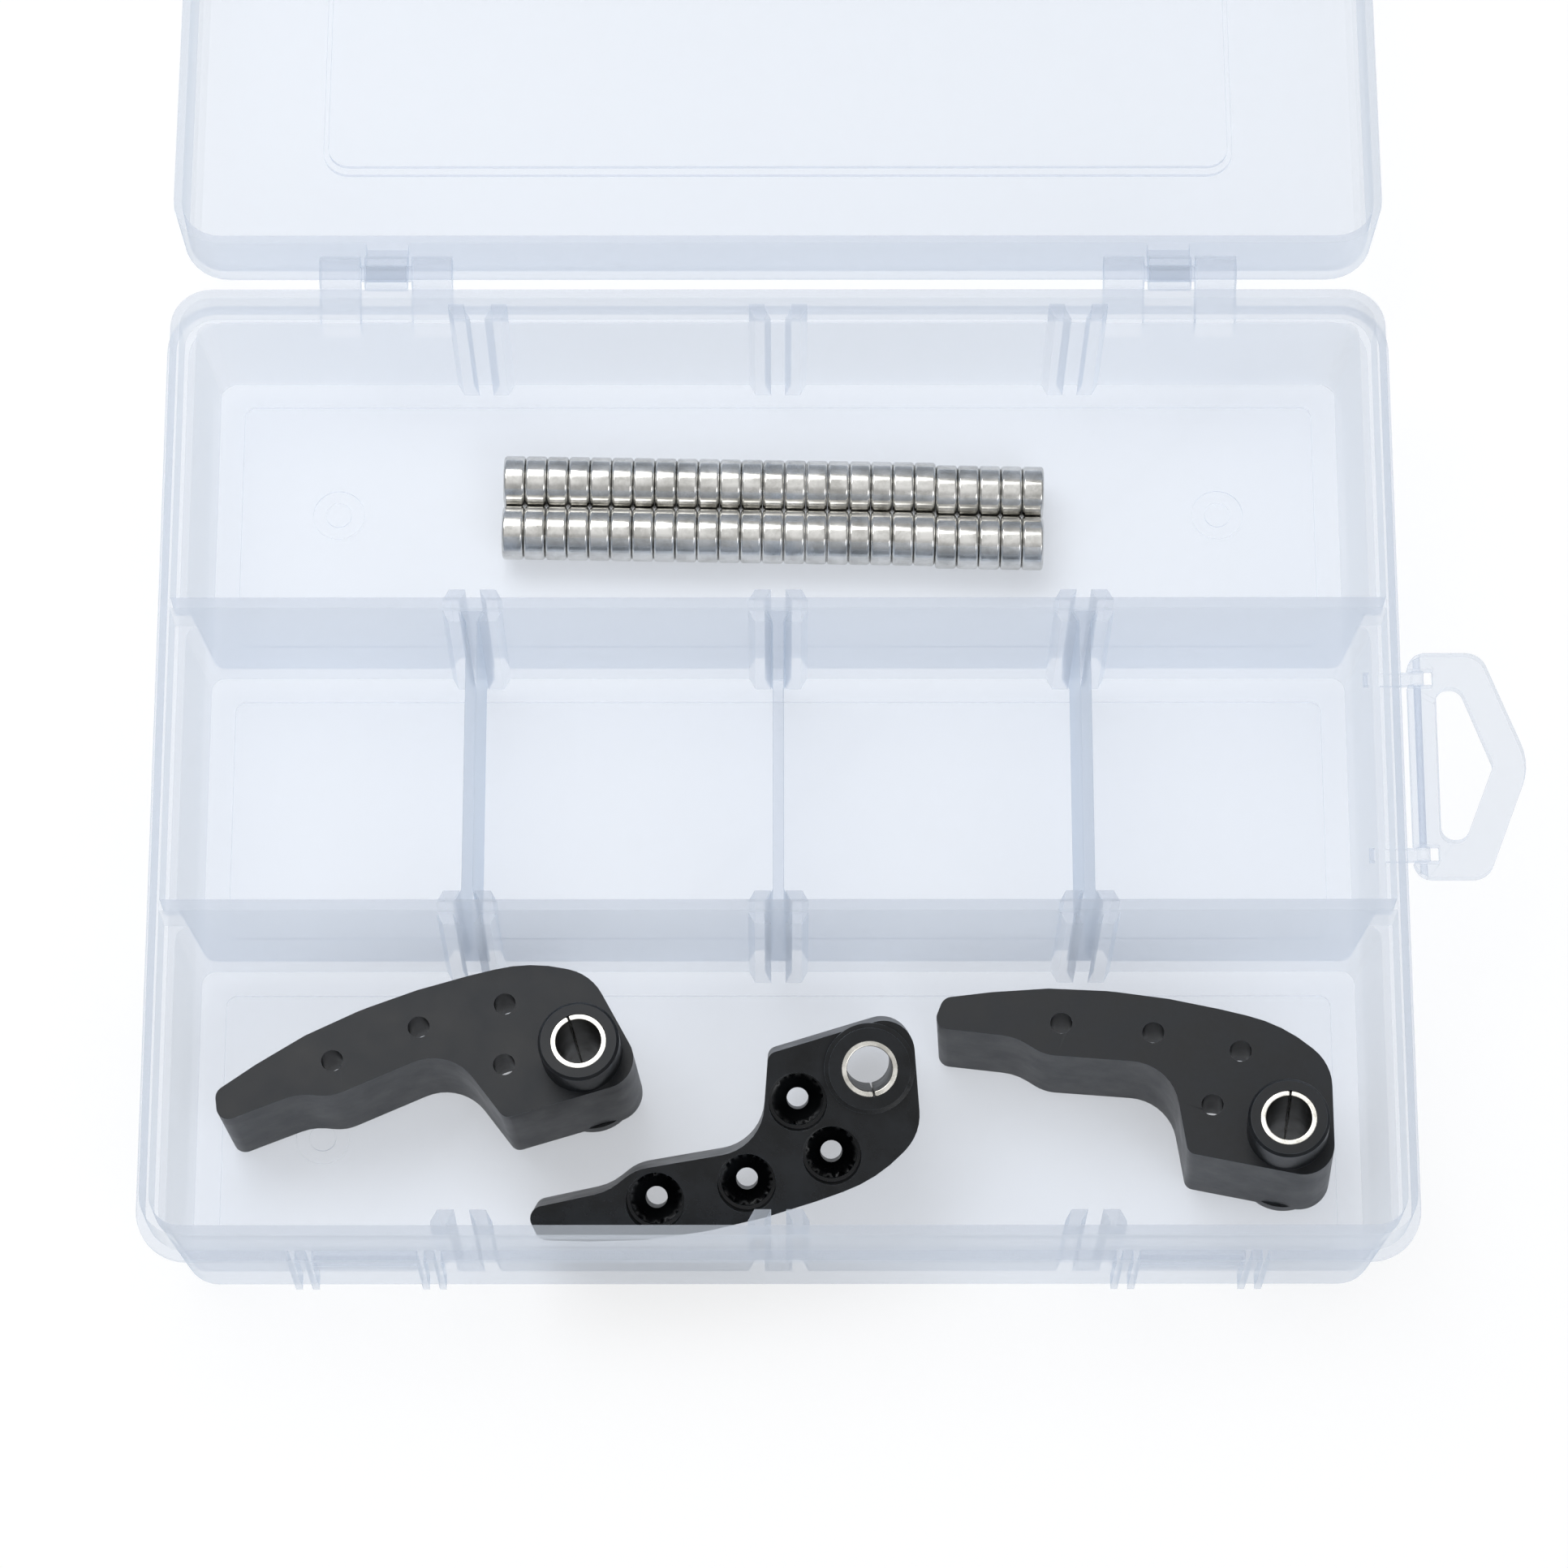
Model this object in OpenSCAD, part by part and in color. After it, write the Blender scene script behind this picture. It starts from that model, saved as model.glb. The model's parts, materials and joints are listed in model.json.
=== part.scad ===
// Translucent compartment case with its contents: cam arms with bushes, and disc magnets.
// Origin: centre of the base's underside. +X right, +Y towards the hinges, +Z up.

/* [Case] */
// Width over the ledge
case_w = 225; // [200:1:280]
// Depth over the ledge
case_d = 181; // [160:1:230]
// Height of the base at its rim
case_h = 41; // [34:0.5:60]
// Height of the ledge that the lid sits on
ledge_z = 29.5; // [24:0.5:32]
// How far the ledge stands out from the rim
ledge_w = 1.7; // [1.2:0.1:3]
// Thickness of the ledge
ledge_t = 1.7; // [1:0.1:3]
// Outer corner radius at the ledge
corner_r = 9; // [5:0.5:16]
// Wall thickness
wall = 1.7; // [1:0.1:2.5]
// Height of the step inside the rim
step_z = 31; // [30:0.5:33]
// Step of the end walls under the rim
step_side = 2; // [0.5:0.1:3]
// Step of the front and back walls under the rim
step_front = 0.7; // [0.3:0.1:2]
// Inward draft of the end walls down to the floor
draft_side = 2.1; // [0:0.1:4]
// Inward draft of the front and back walls
draft_front = 0.5; // [0:0.1:2]
// Floor thickness inside the border
floor_t = 2; // [1.2:0.1:3]
// Height of the raised border above the floor
border_h = 0.8; // [0.3:0.1:1.5]
// Width of the raised border
border_w = 4.5; // [2:0.5:8]

/* [Compartments] */
// Clear depth of the front row
front_row_d = 56; // [50:1:70]
// Clear depth of the back row
back_row_d = 57; // [40:1:70]
// Thickness of the fixed partitions
part_t = 2; // [1.2:0.1:3]
// How far the partitions stop below the rim
part_drop = 0.5; // [0:0.1:4]
// Distance between divider slots
cell_pitch = 55; // [40:1:60]
// Depth of the guide ribs
rib_d = 2.1; // [1.5:0.1:3]
// Thickness of a removable divider
divider_t = 2; // [1.2:0.1:3]
// Running clearance of the dividers
divider_gap = 0.3; // [0.15:0.05:0.5]

/* [Lid] */
// Height of the lid from its skirt edge
lid_h = 18; // [14:0.5:24]
// Lid wall thickness
lid_t = 1.5; // [1:0.1:2]
// Clearance between lid skirt and rim
lid_gap = 0.15; // [0.1:0.05:0.4]
// Height of the raised lid panel
panel_h = 1; // [0.5:0.1:2]
// Inset of the raised panel from the ends
panel_side = 26; // [10:1:40]
// Inset of the raised panel from front and back
panel_front = 24; // [10:1:40]

/* [Hinges and latches] */
// Distance of each hinge and latch from the middle
hinge_x = 72.5; // [50:0.5:85]
// Hinge axis behind the ledge
hinge_back = 6.5; // [5.5:0.5:9]
// Knuckle radius
knuckle_r = 3.2; // [2.5:0.1:4]
// Hinge pin radius
pin_r = 1.5; // [1:0.1:2]
// Running clearance on the pins
pin_gap = 0.08; // [0.05:0.01:0.1]
// Half length of the hinge pin between its blocks
hinge_half = 4.8; // [3.5:0.1:8]
// Width of each hinge block
block_w = 7.4; // [4:0.1:10]
// Width of the latch flap
latch_w = 17; // [12:0.5:22]
// How far the latches stand open at rest
latch_open = 70; // [40:5:90]

/* [Hang tab] */
// Reach of the tab beyond the ledge
tab_reach = 22.7; // [18:0.2:30]
// Half width of the tab
tab_half = 21.3; // [18:0.1:26]
// Thickness of the tab
tab_t = 2.5; // [1.6:0.1:3]
// Offset of the tab from the middle of the end wall
tab_y = 1; // [-20:1:20]

/* [Arms] */
// Thickness of an arm
arm_t = 22; // [16:0.5:26]
// Hub boss height on the plain side
boss_plain = 7.8; // [4:0.5:9]
// Hub boss height on the pocket side
boss_pocket = 3; // [1:0.5:4]
// Hub boss radius
boss_r = 7.2; // [6:0.1:8]
// Bush outer radius
bush_r = 5; // [4.5:0.1:5.5]
// Bush bore radius
bush_bore_r = 4; // [3:0.1:4.2]
// Press allowance of the bush
bush_press = 0.02; // [0:0.01:0.03]
// Magnet pocket radius
pocket_r = 5.2; // [4.4:0.1:5.3]
// Magnet pocket depth
pocket_d = 9; // [4:0.5:12]
// Push-out hole radius
push_r = 1.95; // [1:0.05:2.5]

/* [Magnets] */
// Magnet radius
mag_r = 5; // [3:0.1:7]
// Magnet thickness
mag_t = 4; // [2:0.1:5]
// Magnets in a group
mag_group = 5; // [2:1:5]

/* [Hidden] */
$fn = 48;
hull_fn = 32;
eps = 0.01;
seat_gap = 0.1;
clear_pp = [0.9, 0.94, 0.96, 0.45];
black_oxide = [0.17, 0.18, 0.2];
steel = [0.75, 0.75, 0.74];
nickel = [0.85, 0.84, 0.82];

// Base shell, as half sizes
rim_x = case_w / 2 - ledge_w;
rim_y = case_d / 2 - ledge_w;
rim_r = corner_r - ledge_w;
rim_in_x = rim_x - wall;
rim_in_y = rim_y - wall;
body_x = rim_x - step_side;
body_y = rim_y - step_front;
foot_x = body_x - draft_side;
foot_y = body_y - draft_front;
floor_x = foot_x - wall;
floor_y = foot_y - wall;
border_z = floor_t + border_h;
cell_r = 2.5;

// Partitions and slots
split_front = -floor_y + front_row_d + part_t / 2;
split_back = floor_y - back_row_d - part_t / 2;
part_top = case_h - part_drop;
slot_xs = [-cell_pitch, 0, cell_pitch];
slot_mouth = divider_t / 2 + divider_gap;
slot_root = slot_mouth + 1.15;
rib_t = 2.9;
rib_top = case_h - 2;
divider_flare = slot_root - divider_gap - 0.1;
divider_len = split_back - split_front - part_t - 2 * 0.15;
divider_top = case_h - 1.5;

// Lid, drawn closed and then opened about the hinge axis
skirt_z = ledge_z + lid_gap;
lid_top = ledge_z + lid_h;
lid_edge_r = 2;
lid_taper = 0.5;
hinge_y = case_d / 2 + hinge_back;
hinge_z = ledge_z;
// The free edge of the open lid comes down to the table
lid_reach = norm([hinge_y + case_d / 2 - lid_edge_r, lid_h]);
lid_base_angle = atan(lid_h / (hinge_y + case_d / 2 - lid_edge_r));
lid_open = 180 + asin((hinge_z - seat_gap) / lid_reach) - lid_base_angle;

// Latches
latch_y = -case_d / 2 - 2;
latch_z = skirt_z + 5;
latch_knuckle_r = 1.6;
latch_pin_r = 0.8;
latch_t = 1.7;
bar_z = 23;
bar_h = 2.5;
hook_t = 2;
cheek_t = 1.2;

// Hang tab
tab_x = case_w / 2 + 3;
tab_z = ledge_z - 0.05 - tab_t / 2;
tab_pin_r = 0.6;
tab_knuckle_r = tab_t / 2;
lug_y = tab_half - 5.8;
lug_w = 2.4;

// Arms: outline corners as [x, y, radius], from the bush centre
arm_corners = [
    [64.05, 13.65, 2.2], [49.85, 1.25, 90], [30.85, -8.95, 130], [11.35, -16.05, 27],
    [0.25, -14.65, 9], [-12.15, 3.08, 5.5], [12.15, 13.28, 1.8], [23.65, 1.25, 9],
    [43.25, 12.45, 8], [49.35, 12.55, 10], [62.65, 19.45, 2.2]];
arm_holes = [[44.05, 5.85], [29.55, -1.85], [14.85, -7.65], [13.5, 3.45]];
pocket_boss_r = boss_r + 0.8;
pocket_boss_step = 1.4;
pocket_step = 0.6;
cone_h = 1.6;
groove_w = 0.5;
arm_pts = rounded(arm_corners);
arm_tip_x = 63.75;
// Plain side up: the pocket-side boss and the tip carry the arm
rock = atan(boss_pocket / (arm_tip_x - boss_r));
rock_z = floor_t + seat_gap + (arm_t + boss_pocket) * cos(rock) + boss_r * sin(rock);
arm_left_turn = 173.3;
arm_right_turn = 145.1;
arm_left_pos = [-floor_x + 70.2, -floor_y + 33.55, rock_z];
arm_right_pos = [floor_x - 15.3, -floor_y + 19.35, rock_z];
// Pocket side up: the plain boss and the long edge carry the arm, which leans on the front wall
arm_middle_turn = 219.5;
lean_min = min([for (p = arm_pts) p[0] * sin(arm_middle_turn) - p[1] * cos(arm_middle_turn)]);
lean = atan(boss_plain / (-lean_min - boss_r));
arm_middle_pos = [16, -floor_y + 0.4 - lean_min * cos(lean) + arm_t * sin(lean),
    floor_t + seat_gap - lean_min * sin(lean)];

// Magnets stand on edge in two rows
mag_pitch = mag_t + 0.03;
mag_skin = 0.03;
mag_bevel = 0.35;
mag_turn = -1;
mag_mid = [-0.9, split_back + part_t / 2 + 29.6, floor_t + seat_gap + mag_r];
mag_row_gap = 0.04;
mag_jog = -0.5;
mag_groups = 5;

// Outline with an arc at each corner, from [x, y, radius]
function unit(v) = v / norm(v);
function corner_arc(a, b, c) =
    let (p = [b[0], b[1]], u = unit([a[0], a[1]] - p), v = unit([c[0], c[1]] - p),
        half = acos(u * v) / 2, reach = b[2] / tan(half),
        mid = p + unit(u + v) * b[2] / sin(half),
        s = p + u * reach - mid, e = p + v * reach - mid,
        a0 = atan2(s[1], s[0]), turn = atan2(s[0] * e[1] - s[1] * e[0], s * e),
        steps = max(2, ceil(abs(turn) / 9)))
    [for (i = [0:steps]) mid + b[2] * [cos(a0 + turn * i / steps), sin(a0 + turn * i / steps)]];
function rounded(pts) =
    let (n = len(pts))
    [for (i = [0:n - 1]) each corner_arc(pts[(i + n - 1) % n], pts[i], pts[(i + 1) % n])];

// Rounded rectangle given by half sizes
module plate(x, y, r, h) {
    linear_extrude(h) {
        square([2 * (x - r), 2 * y], center = true);
        square([2 * x, 2 * (y - r)], center = true);
        for (sx = [-1, 1], sy = [-1, 1]) translate([sx * (x - r), sy * (y - r)]) circle(r);
    }
}

// Rounded rectangle from corner to corner
module block(x0, x1, y0, y1, r, h) {
    translate([(x0 + x1) / 2, (y0 + y1) / 2, 0]) plate((x1 - x0) / 2, (y1 - y0) / 2, r, h);
}

module box(x0, x1, y0, y1, z0, z1) {
    translate([x0, y0, z0]) cube([x1 - x0, y1 - y0, z1 - z0]);
}

// Cylinder along X, centred
module bar_x(r, len) { rotate([0, 90, 0]) cylinder(r = r, h = len, center = true); }

// ---- base ----
module base_outside() {
    hull($fn = hull_fn) {
        plate(foot_x, foot_y, rim_r - 1, 1, $fn = hull_fn);
        translate([0, 0, ledge_z - ledge_t]) plate(body_x, body_y, rim_r, 1, $fn = hull_fn);
    }
    translate([0, 0, ledge_z - ledge_t]) plate(case_w / 2, case_d / 2, corner_r, ledge_t);
    translate([0, 0, ledge_z - eps]) plate(rim_x, rim_y, rim_r, case_h - ledge_z + eps);
}

// Lower part of one row, from y0 to y1 at the floor; out0 and out1 widen its top
module row_low(y0, y1, out0, out1) {
    hull($fn = hull_fn) {
        translate([0, 0, border_z]) block(-floor_x, floor_x, y0, y1, cell_r, eps, $fn = hull_fn);
        translate([0, 0, step_z])
            block(-(body_x - wall), body_x - wall, y0 - out0, y1 + out1, cell_r, eps, $fn = hull_fn);
    }
    translate([0, 0, floor_t])
        block(-floor_x + border_w, floor_x - border_w, y0 + border_w, y1 - border_w, 2, border_h + 1);
}

module base_inside() {
    row_low(-floor_y, split_front - part_t / 2, draft_front, 0);
    row_low(split_front + part_t / 2, split_back - part_t / 2, 0, 0);
    row_low(split_back + part_t / 2, floor_y, 0, draft_front);
    difference() {
        translate([0, 0, step_z]) plate(rim_in_x, rim_in_y, rim_r - wall, case_h);
        for (y = [split_front, split_back])
            box(-case_w, case_w, y - part_t / 2, y + part_t / 2, 0, part_top);
    }
}

// Pair of guide ribs on the wall face at y, standing out along side
module rib_pair(x, y, side, root) {
    for (s = [-1, 1])
        translate([x, y, floor_t + eps]) linear_extrude(rib_top - floor_t)
            polygon([[s * slot_root, -side * root], [s * slot_root, 0], [s * slot_mouth, side * rib_d],
                [s * (slot_mouth + rib_t), side * rib_d], [s * (slot_root + rib_t), 0],
                [s * (slot_root + rib_t), -side * root]]);
}

module ribs() {
    for (x = slot_xs) {
        rib_pair(x, -floor_y, 1, wall / 2);
        rib_pair(x, split_front - part_t / 2, -1, part_t / 4);
        rib_pair(x, split_front + part_t / 2, 1, part_t / 4);
        rib_pair(x, split_back - part_t / 2, -1, part_t / 4);
        rib_pair(x, split_back + part_t / 2, 1, part_t / 4);
        rib_pair(x, floor_y, -1, wall / 2);
    }
}

// Side block of a hinge, with its web under the ledge
module hinge_block() {
    translate([-block_w / 2, hinge_y, hinge_z]) rotate([90, 0, 90]) {
        cylinder(r = knuckle_r, h = block_w);
        linear_extrude(block_w)
            polygon([[0, -knuckle_r], [0, -0.2], [-hinge_back - 0.5, -0.2],
                [body_y - wall / 2 - hinge_y, -1], [body_y - wall / 2 - hinge_y, -9]]);
    }
}

module base_hinges() {
    for (x = [-hinge_x, hinge_x]) {
        for (s = [-1, 1]) translate([x + s * (hinge_half + block_w / 2), 0, 0]) hinge_block();
        translate([x, hinge_y, hinge_z]) bar_x(pin_r, 2 * hinge_half + 1);
    }
}

// Catch under the ledge: four upright cheeks and the bar that the latch hooks under
module catches() {
    front = -case_d / 2;
    back = -foot_y + wall / 2;
    inner = latch_w / 2 + 0.7;
    for (x = [-hinge_x, hinge_x]) translate([x, 0, 0]) {
        for (s = [-1, 1], off = [inner, inner + 3])
            box(s * (off + cheek_t / 2) - cheek_t / 2, s * (off + cheek_t / 2) + cheek_t / 2,
                front, back, 8, ledge_z - ledge_t + eps);
        box(-inner - cheek_t, inner + cheek_t, front, back, bar_z, bar_z + bar_h);
    }
}

module tab_lugs() {
    for (s = [-1, 1]) translate([0, tab_y + s * (lug_y + lug_w / 2) - lug_w / 2, 0]) {
        translate([tab_x, lug_w, tab_z]) rotate([90, 0, 0]) cylinder(r = tab_knuckle_r, h = lug_w);
        box(foot_x - wall / 2, tab_x, 0, lug_w, tab_z - tab_knuckle_r, tab_z);
    }
    translate([tab_x, tab_y, tab_z]) rotate([90, 0, 0])
        cylinder(r = tab_pin_r, h = 2 * lug_y + 1, center = true);
}

// Shallow rings under the floor
module foot_rings() {
    for (sx = [-1, 1], sy = [-1, 1]) translate([sx * (floor_x - 22.5), sy * (floor_y - 25.4), -eps])
        difference() {
            cylinder(r = 4.8, h = 0.4);
            translate([0, 0, -1]) cylinder(r = 2.4, h = 2);
        }
}

module case_base() {
    color(clear_pp) {
        difference() {
            base_outside();
            base_inside();
            foot_rings();
        }
        ribs();
        base_hinges();
        catches();
        tab_lugs();
    }
}

// ---- lid ----
module lid_shell() {
    out_x = case_w / 2;
    out_y = case_d / 2;
    in_x = rim_x + lid_gap;
    in_y = rim_y + lid_gap;
    difference() {
        union() {
            hull() {
                translate([0, 0, skirt_z]) plate(out_x, out_y, corner_r, eps, $fn = hull_fn);
                translate([0, 0, lid_top - lid_edge_r])
                    plate(out_x - lid_taper, out_y - lid_taper, corner_r, eps, $fn = hull_fn);
                translate([0, 0, lid_top - eps])
                    plate(out_x - lid_edge_r, out_y - lid_edge_r, corner_r - 1, eps, $fn = hull_fn);
            }
            translate([0, 0, lid_top - eps])
                plate(out_x - panel_side, out_y - panel_front, 5, panel_h + eps);
        }
        hull() {
            translate([0, 0, skirt_z - 1]) plate(in_x, in_y, rim_r, eps, $fn = hull_fn);
            translate([0, 0, lid_top - lid_t - lid_edge_r])
                plate(in_x, in_y, rim_r, eps, $fn = hull_fn);
            translate([0, 0, lid_top - lid_t])
                plate(in_x - lid_edge_r, in_y - lid_edge_r, rim_r - 1, eps, $fn = hull_fn);
        }
        translate([0, 0, lid_top - lid_t - eps])
            plate(out_x - panel_side - 1, out_y - panel_front - 1, 4, panel_h + eps);
    }
}

module lid_tongue() {
    tongue = 2 * (hinge_half - 0.9);
    difference() {
        union() {
            translate([0, hinge_y, hinge_z]) bar_x(knuckle_r, tongue);
            box(-tongue / 2, tongue / 2, rim_y + lid_gap + 0.3, hinge_y, skirt_z + 0.1, hinge_z + knuckle_r);
        }
        translate([0, hinge_y, hinge_z]) bar_x(pin_r + pin_gap, tongue + 1);
    }
}

module latch_lugs() {
    lug = 1.8;
    for (s = [-1, 1])
        translate([s * (latch_w / 2 + 0.3 + lug / 2), 0, 0]) {
            translate([0, latch_y, latch_z]) bar_x(latch_knuckle_r, lug);
            box(-lug / 2, lug / 2, latch_y, -rim_y - lid_gap - 0.3,
                latch_z - latch_knuckle_r, latch_z + latch_knuckle_r);
        }
    translate([0, latch_y, latch_z]) bar_x(latch_pin_r, latch_w + 1);
}

module lid_closed() {
    lid_shell();
    for (x = [-hinge_x, hinge_x]) translate([x, 0, 0]) {
        lid_tongue();
        latch_lugs();
    }
}

// Turn a closed part back about the hinge axis
module opened() {
    translate([0, hinge_y, hinge_z]) rotate([-lid_open, 0, 0]) translate([0, -hinge_y, -hinge_z])
        children();
}

module case_lid() {
    color(clear_pp) opened() lid_closed();
}

// Latch flap in its closed place
module latch_closed() {
    plate_y = latch_y - latch_knuckle_r;
    hook_z = bar_z - 0.25 - hook_t;
    difference() {
        union() {
            translate([0, latch_y, latch_z]) bar_x(latch_knuckle_r, latch_w);
            box(-latch_w / 2, latch_w / 2, plate_y, plate_y + latch_t, hook_z - 2.5, latch_z);
            box(-latch_w / 2, latch_w / 2, plate_y, -case_d / 2 + 1, hook_z, hook_z + hook_t);
        }
        translate([0, latch_y, latch_z]) bar_x(latch_pin_r + pin_gap, latch_w + 1);
    }
}

module latch(x) {
    color(clear_pp) opened()
        translate([x, latch_y, latch_z]) rotate([-latch_open, 0, 0]) translate([0, -latch_y, -latch_z])
            latch_closed();
}

// ---- hang tab ----
module tab_plan() {
    back = case_w / 2 + 1.2;
    nose = case_w / 2 + tab_reach;
    difference() {
        polygon(rounded([[back, -tab_half, 3.4], [nose - 8.2, -tab_half, 4], [nose, 0, 11],
            [nose - 8.2, tab_half, 4], [back, tab_half, 3.4]]));
        polygon(rounded([[back + 5, -tab_half + 7, 2.4], [nose - 12.1, -tab_half + 7, 2.4],
            [nose - 6.6, 0, 1], [nose - 12.1, tab_half - 6.6, 2.4], [back + 5, tab_half - 6.6, 2.4]]));
        for (s = [-1, 1])
            translate([back - 2, s * (lug_y + lug_w / 2) - lug_w / 2 - 0.3])
                square([6.6, lug_w + 0.6]);
    }
}

module hang_tab() {
    color(clear_pp) difference() {
        union() {
            translate([0, tab_y, tab_z - tab_t / 2]) linear_extrude(tab_t) tab_plan();
            translate([tab_x, tab_y, tab_z]) rotate([90, 0, 0])
                cylinder(r = tab_knuckle_r, h = 2 * (lug_y - 0.3), center = true);
        }
        translate([tab_x, tab_y, tab_z]) rotate([90, 0, 0])
            cylinder(r = tab_pin_r + pin_gap, h = 2 * tab_half + 2, center = true);
    }
}

// ---- removable dividers ----
module divider(x) {
    half = divider_len / 2;
    neck = half - rib_d;
    color(clear_pp) translate([x, (split_front + split_back) / 2, border_z])
        linear_extrude(divider_top - border_z)
            polygon([[-divider_t / 2, -neck], [-divider_flare, -half], [divider_flare, -half],
                [divider_t / 2, -neck], [divider_t / 2, neck], [divider_flare, half],
                [-divider_flare, half], [-divider_t / 2, neck]]);
}

// ---- arms ----
// Plain face at z = 0, pocket face at z = -arm_t
module arm_body() {
    color(black_oxide) difference() {
        union() {
            translate([0, 0, -arm_t]) linear_extrude(arm_t) polygon(arm_pts);
            cylinder(r1 = boss_r, r2 = boss_r, h = boss_plain - 0.5);
            translate([0, 0, boss_plain - 0.5]) cylinder(r1 = boss_r, r2 = boss_r - 0.5, h = 0.5);
            translate([0, 0, -arm_t - boss_pocket]) cylinder(r = boss_r, h = boss_pocket + 1);
            translate([0, 0, -arm_t - pocket_boss_step])
                cylinder(r = pocket_boss_r, h = pocket_boss_step + 1);
        }
        cylinder(r = bush_r - bush_press, h = 4 * arm_t, center = true);
        for (p = arm_holes) translate([p[0], p[1], -arm_t]) {
            translate([0, 0, -1]) cylinder(r = pocket_r, h = pocket_d + 1);
            cylinder(r = pocket_r - pocket_step, h = pocket_d + 2);
            translate([0, 0, pocket_d + 2 - eps])
                cylinder(r1 = pocket_r - pocket_step, r2 = push_r, h = cone_h);
            cylinder(r = push_r, h = 2 * arm_t);
        }
    }
}

// Wrapped bush with its seam
module bush() {
    h = arm_t + boss_plain + boss_pocket - 0.4;
    color(steel) translate([0, 0, -arm_t - boss_pocket + 0.2]) difference() {
        cylinder(r = bush_r, h = h);
        translate([0, 0, -1]) cylinder(r = bush_bore_r, h = h + 2);
        rotate([0, 0, -60]) translate([0, -0.1, -1]) cube([bush_r + 1, 0.2, h + 2]);
    }
}

module place_left() {
    translate(arm_left_pos) rotate([0, 0, arm_left_turn]) rotate([0, rock, 0]) children();
}

module place_right() {
    translate(arm_right_pos) rotate([0, 0, arm_right_turn]) rotate([0, rock, 0]) children();
}

module place_middle() {
    translate(arm_middle_pos) rotate([lean, 0, 0]) rotate([0, 0, arm_middle_turn]) rotate([180, 0, 0])
        children();
}

// ---- magnets ----
module magnet() {
    half = mag_t / 2 - mag_skin / 2;
    rotate([0, 90, 0]) rotate_extrude()
        polygon([[0, -half], [mag_r - mag_bevel, -half], [mag_r, -half + mag_bevel],
            [mag_r, half - mag_bevel], [mag_r - mag_bevel, half], [0, half]]);
}

// Group g of a row; side is 1 for the back row and -1 for the front row
module magnets(g, side) {
    first = (g - mag_groups / 2) * mag_group;
    jog = g == mag_groups - 1 ? mag_jog : 0;
    color(nickel) translate(mag_mid) rotate([0, 0, mag_turn])
        for (i = [0:mag_group - 1])
            translate([(first + i + 0.5) * mag_pitch, side * (mag_r + mag_row_gap / 2) + jog, 0])
                magnet();
}

case_base();
case_lid();
latch(-hinge_x);  // latch_left
latch(hinge_x);  // latch_right
hang_tab();
divider(slot_xs[0]);  // divider_left
divider(slot_xs[1]);  // divider_middle
divider(slot_xs[2]);  // divider_right
place_left() arm_body();  // arm_left
place_middle() arm_body();  // arm_middle
place_right() arm_body();  // arm_right
place_left() bush();  // bushing_left
place_middle() bush();  // bushing_middle
place_right() bush();  // bushing_right
magnets(0, 1);  // magnets_back_1
magnets(1, 1);  // magnets_back_2
magnets(2, 1);  // magnets_back_3
magnets(3, 1);  // magnets_back_4
magnets(4, 1);  // magnets_back_5
magnets(0, -1);  // magnets_front_1
magnets(1, -1);  // magnets_front_2
magnets(2, -1);  // magnets_front_3
magnets(3, -1);  // magnets_front_4
magnets(4, -1);  // magnets_front_5
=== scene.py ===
import json
import math

import bmesh
import bpy
from mathutils import Matrix, Vector


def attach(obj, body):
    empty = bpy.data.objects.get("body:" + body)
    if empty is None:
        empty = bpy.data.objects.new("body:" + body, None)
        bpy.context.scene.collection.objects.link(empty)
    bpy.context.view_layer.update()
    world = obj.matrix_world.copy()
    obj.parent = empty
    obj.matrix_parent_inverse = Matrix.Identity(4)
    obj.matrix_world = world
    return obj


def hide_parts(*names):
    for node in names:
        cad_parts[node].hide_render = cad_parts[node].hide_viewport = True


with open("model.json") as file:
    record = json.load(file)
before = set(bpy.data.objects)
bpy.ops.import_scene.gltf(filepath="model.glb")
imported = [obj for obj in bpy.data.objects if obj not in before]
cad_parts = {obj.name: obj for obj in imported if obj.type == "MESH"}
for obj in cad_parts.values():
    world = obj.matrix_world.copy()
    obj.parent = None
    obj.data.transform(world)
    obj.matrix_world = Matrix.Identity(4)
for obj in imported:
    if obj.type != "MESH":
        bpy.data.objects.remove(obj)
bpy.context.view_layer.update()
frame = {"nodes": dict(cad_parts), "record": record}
mm = 0.001
bodyOf = {
    node: body for body, nodes in frame["record"]["behaviour"]["bodies"].items() for node in nodes
}
mountOf = {mount["name"]: mount for mount in frame["record"]["mounts"]}
scene = bpy.context.scene


# ---------- nodes and colours ----------
def fromHex(text, alpha=1.0):
    parts = [int(text[i : i + 2], 16) / 255 for i in (1, 3, 5)]
    linear = [c / 12.92 if c <= 0.04045 else ((c + 0.055) / 1.055) ** 2.4 for c in parts]
    return (*linear, alpha)


def addNode(tree, kind, settings=None, inputs=None):
    node = tree.nodes.new(kind)
    for name, value in (settings or {}).items():
        setattr(node, name, value)
    for name, value in (inputs or {}).items():
        socket = node.inputs[name]
        if isinstance(value, bpy.types.NodeSocket):
            tree.links.new(value, socket)
        else:
            socket.default_value = value
    return node


def newMaterial(name):
    made = bpy.data.materials.new(name)
    made.use_nodes = True
    made.node_tree.nodes.clear()
    return made, made.node_tree


def setRamp(node, stops):
    ramp = node.color_ramp
    while len(ramp.elements) > 1:
        ramp.elements.remove(ramp.elements[-1])
    for i, (place, colour) in enumerate(stops):
        element = ramp.elements[0] if i == 0 else ramp.elements.new(place)
        element.position = place
        element.color = colour
    return node


def grey(value):
    return (value, value, value, 1)


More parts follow.
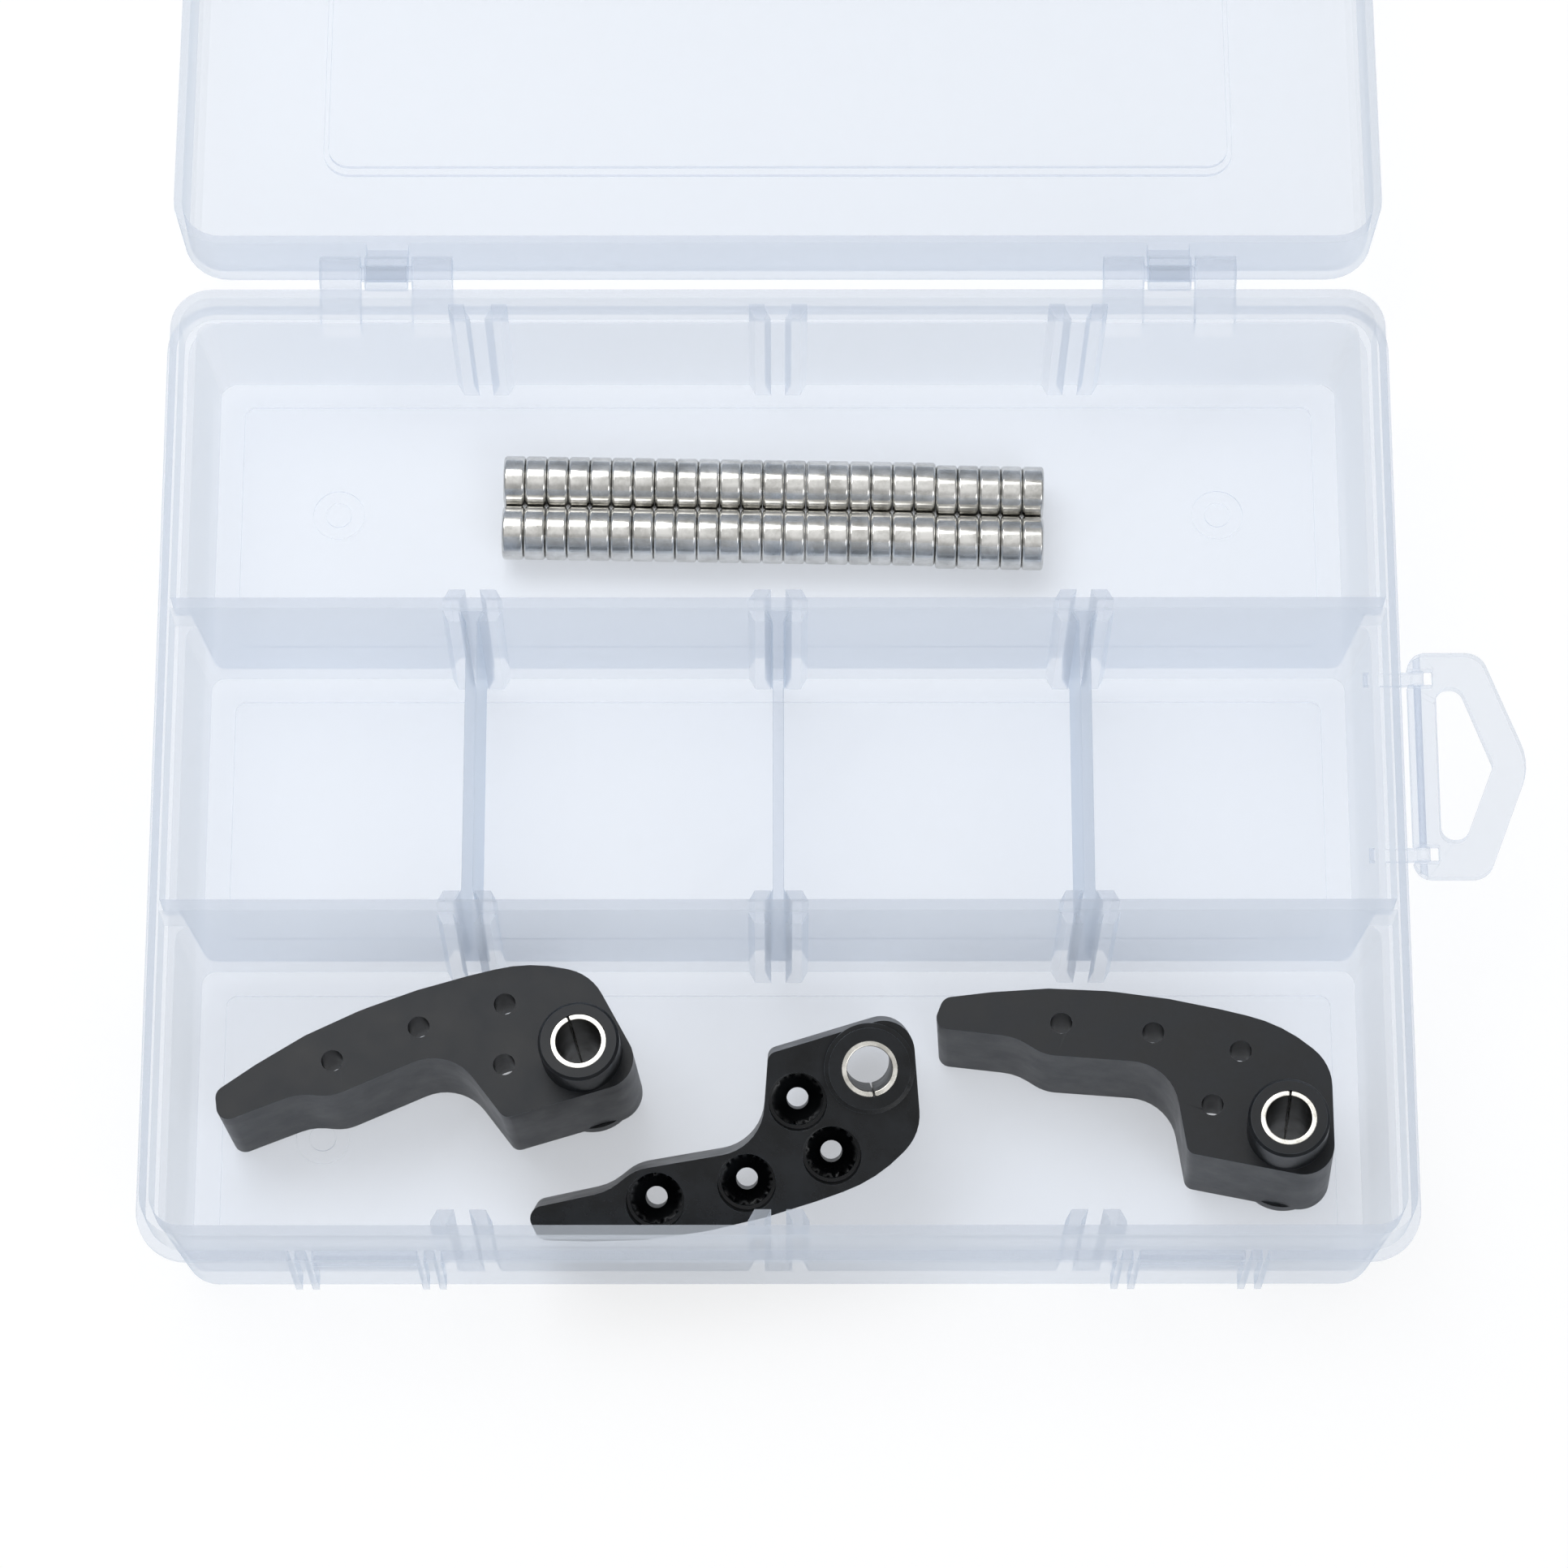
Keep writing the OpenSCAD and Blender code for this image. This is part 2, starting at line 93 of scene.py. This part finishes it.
# Polypropylene, injection moulded: milky, slightly blue, with a faint ripple and a soft gloss
polypropylene = {
    "colour": "#EAF0F7",
    "through": "#FBFCFE",
    # painted shade: the darker, bluer colour passed through walls seen edge-on
    "edge": "#D3DFEC",
    "roughness": 0.22,
    "facing": 0.17,
    "grazing": 0.5,
    "glow": 0.5,
    "shade": 0.25,
    "ripplePerMetre": 90,
    "rippleHeight": 0.03,
}


def makePolypropylene():
    look = polypropylene
    made, tree = newMaterial("mouldedPolypropylene")
    coords = addNode(tree, "ShaderNodeTexCoord")
    ripple = addNode(
        tree,
        "ShaderNodeTexNoise",
        inputs={"Vector": coords.outputs["Object"], "Scale": look["ripplePerMetre"], "Detail": 3.0},
    )
    bump = addNode(
        tree,
        "ShaderNodeBump",
        inputs={
            "Strength": 0.25,
            "Distance": look["rippleHeight"] * mm,
            "Height": ripple.outputs["Fac"],
        },
    )
    surface = addNode(
        tree,
        "ShaderNodeBsdfPrincipled",
        inputs={
            "Base Color": fromHex(look["colour"]),
            "Roughness": look["roughness"],
            "IOR": 1.49,
            "Normal": bump.outputs["Normal"],
        },
    )
    glow = addNode(tree, "ShaderNodeBsdfTranslucent", inputs={"Color": fromHex(look["colour"])})
    milk = addNode(
        tree,
        "ShaderNodeMixShader",
        inputs={0: look["glow"], 1: surface.outputs[0], 2: glow.outputs[0]},
    )
    edge = addNode(tree, "ShaderNodeLayerWeight", inputs={"Blend": 0.35})
    # light that skims a wall is bent aside, so a wall seen edge-on is darker and bluer; this is painted
    # shade: the colour passed through is painted darker by the facing angle
    passed = setRamp(
        addNode(tree, "ShaderNodeValToRGB", inputs={"Fac": edge.outputs["Facing"]}),
        [(0.0, fromHex(look["through"])), (0.7, fromHex(look["through"])), (1.0, fromHex(look["edge"]))],
    )
    clear = addNode(tree, "ShaderNodeBsdfTransparent", inputs={"Color": passed.outputs["Color"]})
    cover = addNode(
        tree,
        "ShaderNodeMapRange",
        inputs={
            "Value": edge.outputs["Facing"],
            "To Min": look["facing"],
            "To Max": look["grazing"],
        },
    )
    # most of the light scattered in a thin wall still goes on through it, so its shadow is faint
    path = addNode(tree, "ShaderNodeLightPath")
    shade = addNode(
        tree,
        "ShaderNodeMapRange",
        inputs={"Value": path.outputs["Is Shadow Ray"], "To Min": 1.0, "To Max": look["shade"]},
    )
    share = addNode(
        tree,
        "ShaderNodeMath",
        settings={"operation": "MULTIPLY"},
        inputs={0: cover.outputs["Result"], 1: shade.outputs["Result"]},
    )
    both = addNode(
        tree,
        "ShaderNodeMixShader",
        inputs={0: share.outputs[0], 1: clear.outputs[0], 2: milk.outputs[0]},
    )
    addNode(tree, "ShaderNodeOutputMaterial", inputs={"Surface": both.outputs[0]})
    return made


# Steel with a black oxide finish: satin charcoal with a faint mottle and fine grain
blackOxide = {
    "plain": {"dark": "#101215", "light": "#1A1D21", "rough": (0.34, 0.46), "marks": 0.0},
    "machined": {"dark": "#0E1012", "light": "#191C20", "rough": (0.2, 0.36), "marks": 0.5},
    # painted highlight: the lighter colour given to the rounded edges of the arms
    "paintedEdgeHighlight": {"dark": "#343A40", "light": "#5C636A", "rough": (0.26, 0.4), "marks": 0.0},
}


def makeBlackOxide(kind):
    look = blackOxide[kind]
    made, tree = newMaterial("blackOxideSteel_" + kind)
    coords = addNode(tree, "ShaderNodeTexCoord")
    mottle = addNode(
        tree,
        "ShaderNodeTexNoise",
        inputs={"Vector": coords.outputs["Object"], "Scale": 160.0, "Detail": 6.0, "Roughness": 0.6},
    )
    grain = addNode(
        tree,
        "ShaderNodeTexNoise",
        inputs={"Vector": coords.outputs["Object"], "Scale": 2200.0, "Detail": 2.0},
    )
    tone = setRamp(
        addNode(tree, "ShaderNodeValToRGB", inputs={"Fac": mottle.outputs["Fac"]}),
        [(0.35, fromHex(look["dark"])), (0.68, fromHex(look["light"]))],
    )
    gloss = addNode(
        tree,
        "ShaderNodeMapRange",
        inputs={
            "Value": mottle.outputs["Fac"],
            "From Min": 0.3,
            "From Max": 0.7,
            "To Min": look["rough"][0],
            "To Max": look["rough"][1],
        },
    )
    height = grain.outputs["Fac"]
    if look["marks"]:
        # short arcs that a face mill leaves, about 0.5 mm apart
        turned = addNode(
            tree,
            "ShaderNodeMapping",
            inputs={"Vector": coords.outputs["Object"], "Rotation": (0.3, 0.2, 0.7)},
        )
        marks = addNode(
            tree,
            "ShaderNodeTexWave",
            settings={"wave_type": "RINGS"},
            inputs={
                "Vector": turned.outputs["Vector"],
                "Scale": 300.0,
                "Distortion": 6.0,
                "Detail": 3.0,
                "Detail Scale": 2.0,
            },
        )
        height = addNode(
            tree,
            "ShaderNodeMix",
            inputs={"Factor": look["marks"], "A": grain.outputs["Fac"], "B": marks.outputs["Fac"]},
        ).outputs["Result"]
    bump = addNode(
        tree,
        "ShaderNodeBump",
        inputs={"Strength": 0.35, "Distance": 0.02 * mm, "Height": height},
    )
    surface = addNode(
        tree,
        "ShaderNodeBsdfPrincipled",
        inputs={
            "Base Color": tone.outputs["Color"],
            "Metallic": 0.3,
            "Specular IOR Level": 0.35,
            "Roughness": gloss.outputs["Result"],
            "Normal": bump.outputs["Normal"],
        },
    )
    addNode(tree, "ShaderNodeOutputMaterial", inputs={"Surface": surface.outputs[0]})
    return made


# Bright metals: cut steel on the bush ends, its dark dry liner, and nickel plate on the magnets
brightMetals = {
    "cutSteel": {"dark": "#B9B7B0", "light": "#DEDCD6", "rough": (0.2, 0.34), "metallic": 1.0},
    "dryLiner": {"dark": "#1E1F1F", "light": "#43433F", "rough": (0.3, 0.5), "metallic": 0.8},
    "nickelPlate": {"dark": "#BDBCB8", "light": "#DAD9D6", "rough": (0.12, 0.2), "metallic": 1.0},
}


def makeBrightMetal(kind):
    look = brightMetals[kind]
    made, tree = newMaterial(kind)
    coords = addNode(tree, "ShaderNodeTexCoord")
    cloud = addNode(
        tree,
        "ShaderNodeTexNoise",
        inputs={"Vector": coords.outputs["Object"], "Scale": 240.0, "Detail": 5.0, "Roughness": 0.65},
    )
    tone = setRamp(
        addNode(tree, "ShaderNodeValToRGB", inputs={"Fac": cloud.outputs["Fac"]}),
        [(0.35, fromHex(look["dark"])), (0.6, fromHex(look["light"]))],
    )
    gloss = addNode(
        tree,
        "ShaderNodeMapRange",
        inputs={
            "Value": cloud.outputs["Fac"],
            "From Min": 0.3,
            "From Max": 0.7,
            "To Min": look["rough"][0],
            "To Max": look["rough"][1],
        },
    )
    surface = addNode(
        tree,
        "ShaderNodeBsdfPrincipled",
        inputs={
            "Base Color": tone.outputs["Color"],
            "Metallic": look["metallic"],
            "Roughness": gloss.outputs["Result"],
        },
    )
    addNode(tree, "ShaderNodeOutputMaterial", inputs={"Surface": surface.outputs[0]})
    return made


# ---------- pieces ----------
def deselectAll():
    if bpy.context.object and bpy.context.object.mode != "OBJECT":
        bpy.ops.object.mode_set(mode="OBJECT")
    bpy.ops.object.select_all(action="DESELECT")


# merged ring-shaped faces can close a hole, so flatWithin is only for pieces without them
def copyOfNode(node, name, joinWithin=0.002 * mm, flatWithin=0.0):
    deselectAll()
    source = frame["nodes"][node]
    made = bpy.data.objects.new(name, source.data.copy())
    scene.collection.objects.link(made)
    made.data.materials.clear()
    mesh = bmesh.new()
    mesh.from_mesh(made.data)
    bmesh.ops.remove_doubles(mesh, verts=mesh.verts, dist=joinWithin)
    if flatWithin:
        bmesh.ops.dissolve_limit(
            mesh, angle_limit=math.radians(flatWithin), verts=mesh.verts, edges=mesh.edges
        )
    mesh.to_mesh(made.data)
    mesh.free()
    made.select_set(True)
    bpy.context.view_layer.objects.active = made
    return made


def roundEdges(piece, width, segments=2, angle=32, material=-1):
    bevel = piece.modifiers.new("roundedEdges", "BEVEL")
    bevel.width = width * mm
    bevel.segments = segments
    bevel.limit_method = "ANGLE"
    bevel.angle_limit = math.radians(angle)
    bevel.use_clamp_overlap = True
    bevel.material = material
    bevel.miter_outer = "MITER_ARC"
    bpy.context.view_layer.objects.active = piece
    bpy.ops.object.modifier_apply(modifier=bevel.name)
    bpy.ops.object.shade_smooth_by_angle(angle=math.radians(30))
    flat = piece.modifiers.new("flatFaces", "WEIGHTED_NORMAL")
    flat.keep_sharp = True
    flat.weight = 100
    bpy.ops.object.modifier_apply(modifier=flat.name)


def finishPiece(piece, node):
    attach(piece, bodyOf[node])
    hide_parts(node)


mouldings = {
    "case_base": {"round": 0.3},
    "case_lid": {"round": 0.3},
    "latch_left": {"round": 0.25},
    "latch_right": {"round": 0.25},
    "hang_tab": {"round": 0.35},
    "divider_left": {"round": 0.2},
    "divider_middle": {"round": 0.2},
    "divider_right": {"round": 0.2},
}


def makeMouldings(material):
    for node, look in mouldings.items():
        piece = copyOfNode(node, node + "_moulding")
        piece.data.materials.append(material)
        roundEdges(piece, look["round"])
        finishPiece(piece, node)
        print("moulding", node, len(piece.data.polygons), "faces")


armLook = {"round": 0.45, "segments": 3}


def armAxis(side):
    mount = mountOf["bush_bore_" + side]
    axis = Vector(mount["axis"])
    if side == "middle":
        axis = -axis
    return Vector(mount["pos_m"]), axis


def makeArms(materials):
    for side in ("left", "middle", "right"):
        node = "arm_" + side
        piece = copyOfNode(node, node + "_steel")
        for material in materials:
            piece.data.materials.append(material)
        centre, axis = armAxis(side)
        for face in piece.data.polygons:
            # the pocket side is cut later and shines more; so do the pockets' floors
            face.material_index = 1 if face.normal.dot(axis) < -0.3 else 0
        # the rounded edges get material 2, a lighter colour that is a painted highlight
        roundEdges(piece, armLook["round"], armLook["segments"], material=2)
        finishPiece(piece, node)
        print("arm", side, len(piece.data.polygons), "faces")


bushLook = {"round": 0.22, "boreRadius": 4.0}


def makeBushes(materials):
    for side in ("left", "middle", "right"):
        node = "bushing_" + side
        piece = copyOfNode(node, node + "_wrapped", flatWithin=0.6)
        for material in materials:
            piece.data.materials.append(material)
        centre, axis = armAxis(side)
        for face in piece.data.polygons:
            away = face.center - centre
            radial = away - axis * away.dot(axis)
            inBore = radial.length < (bushLook["boreRadius"] + 0.1) * mm and abs(face.normal.dot(axis)) < 0.5
            face.material_index = 1 if inBore else 0
        roundEdges(piece, bushLook["round"], 2, angle=50)
        finishPiece(piece, node)
        print("bush", side, len(piece.data.polygons), "faces")


magnetLook = {"round": 0.2, "segments": 2}


def makeMagnets(material):
    for row in ("back", "front"):
        for group in range(1, 6):
            node = f"magnets_{row}_{group}"
            piece = copyOfNode(node, node + "_plated", flatWithin=0.6)
            piece.data.materials.append(material)
            roundEdges(piece, magnetLook["round"], magnetLook["segments"], angle=25)
            finishPiece(piece, node)
    print("magnets done")


# ---------- stage, light and camera ----------
view = {
    "place": (-0.3, -330.3, 995.2),
    "tilt": 18.736,
    "turn": -0.231,
    "roll": 0.187,
    "lens": 36 * 7000 / 1932,
}


def makeCamera():
    data = bpy.data.cameras.new("camera")
    data.sensor_width = 36
    data.lens = view["lens"]
    data.clip_start = 0.01
    camera = bpy.data.objects.new("camera", data)
    scene.collection.objects.link(camera)
    turn = Matrix.Rotation(math.radians(view["turn"]), 4, "Z")
    tilt = Matrix.Rotation(math.radians(view["tilt"]), 4, "X")
    roll = Matrix.Rotation(math.radians(view["roll"]), 4, "Z")
    camera.matrix_world = Matrix.Translation(Vector(view["place"]) * mm) @ turn @ tilt @ roll
    scene.camera = camera


stage = {"size": 6.0, "drop": 0.2, "colour": "#FAFBFC", "own": 0.68}


def seenRays(tree):
    path = addNode(tree, "ShaderNodeLightPath")
    both = addNode(
        tree,
        "ShaderNodeMath",
        settings={"operation": "MAXIMUM"},
        inputs={0: path.outputs["Is Camera Ray"], 1: path.outputs["Is Glossy Ray"]},
    )
    return addNode(
        tree,
        "ShaderNodeMath",
        settings={"operation": "MAXIMUM"},
        inputs={0: both.outputs[0], 1: path.outputs["Is Transmission Ray"]},
    ).outputs[0]


def makeFloor():
    bpy.ops.mesh.primitive_plane_add(size=stage["size"], location=(0, 0, -stage["drop"] * mm))
    floor = bpy.context.object
    floor.name = "floor"
    made, tree = newMaterial("paleTable")
    paper = addNode(
        tree, "ShaderNodeBsdfDiffuse", inputs={"Color": fromHex(stage["colour"]), "Roughness": 0.0}
    )
    white = addNode(tree, "ShaderNodeEmission", inputs={"Color": (1, 1, 1, 1), "Strength": 1.0})
    share = addNode(
        tree,
        "ShaderNodeMath",
        settings={"operation": "MULTIPLY"},
        inputs={0: seenRays(tree), 1: stage["own"]},
    )
    mixed = addNode(
        tree,
        "ShaderNodeMixShader",
        inputs={0: share.outputs[0], 1: paper.outputs[0], 2: white.outputs[0]},
    )
    addNode(tree, "ShaderNodeOutputMaterial", inputs={"Surface": mixed.outputs[0]})
    floor.data.materials.append(made)


lamps = {
    "overhead": {"place": (-0.5, 0.6, 1.5), "size": (1.2, 0.8), "watts": 12},
    "front": {"place": (0.7, -1.1, 1.3), "size": (0.9, 0.6), "watts": 6},
}


def makeLamps():
    for name, lamp in lamps.items():
        data = bpy.data.lights.new(name, "AREA")
        data.shape = "RECTANGLE"
        data.size, data.size_y = lamp["size"]
        data.energy = lamp["watts"]
        light = bpy.data.objects.new(name, data)
        light.location = lamp["place"]
        light.rotation_euler = (-Vector(lamp["place"])).to_track_quat("-Z", "Y").to_euler()
        scene.collection.objects.link(light)


def makeWorld():
    world = bpy.data.worlds.new("studio")
    scene.world = world
    world.use_nodes = True
    tree = world.node_tree
    tree.nodes.clear()
    coords = addNode(tree, "ShaderNodeTexCoord")
    split = addNode(tree, "ShaderNodeSeparateXYZ", inputs={"Vector": coords.outputs["Generated"]})
    # soft boxes round the table, as a polished surface mirrors them
    studio = setRamp(
        addNode(tree, "ShaderNodeValToRGB", inputs={"Fac": split.outputs["Z"]}),
        [(0.0, grey(0.5)), (0.3, grey(0.22)), (0.62, grey(0.5)), (0.86, grey(0.62)), (0.96, grey(1.0))],
    )
    path = addNode(tree, "ShaderNodeLightPath")
    mirrored = addNode(
        tree,
        "ShaderNodeMix",
        settings={"data_type": "RGBA"},
        inputs={0: path.outputs["Is Glossy Ray"], 6: grey(0.62), 7: studio.outputs["Color"]},
    )
    seen = addNode(
        tree,
        "ShaderNodeMix",
        settings={"data_type": "RGBA"},
        inputs={0: path.outputs["Is Camera Ray"], 6: mirrored.outputs[2], 7: grey(1.0)},
    )
    back = addNode(tree, "ShaderNodeBackground", inputs={"Color": seen.outputs[2], "Strength": 1.0})
    addNode(tree, "ShaderNodeOutputWorld", inputs={"Surface": back.outputs[0]})


scene.view_settings.view_transform = "Standard"
makeCamera()
makeFloor()
makeLamps()
makeWorld()
print("stage ready")
makeMouldings(makePolypropylene())
makeArms([makeBlackOxide("plain"), makeBlackOxide("machined"), makeBlackOxide("paintedEdgeHighlight")])
makeBushes([makeBrightMetal("cutSteel"), makeBrightMetal("dryLiner")])
makeMagnets(makeBrightMetal("nickelPlate"))
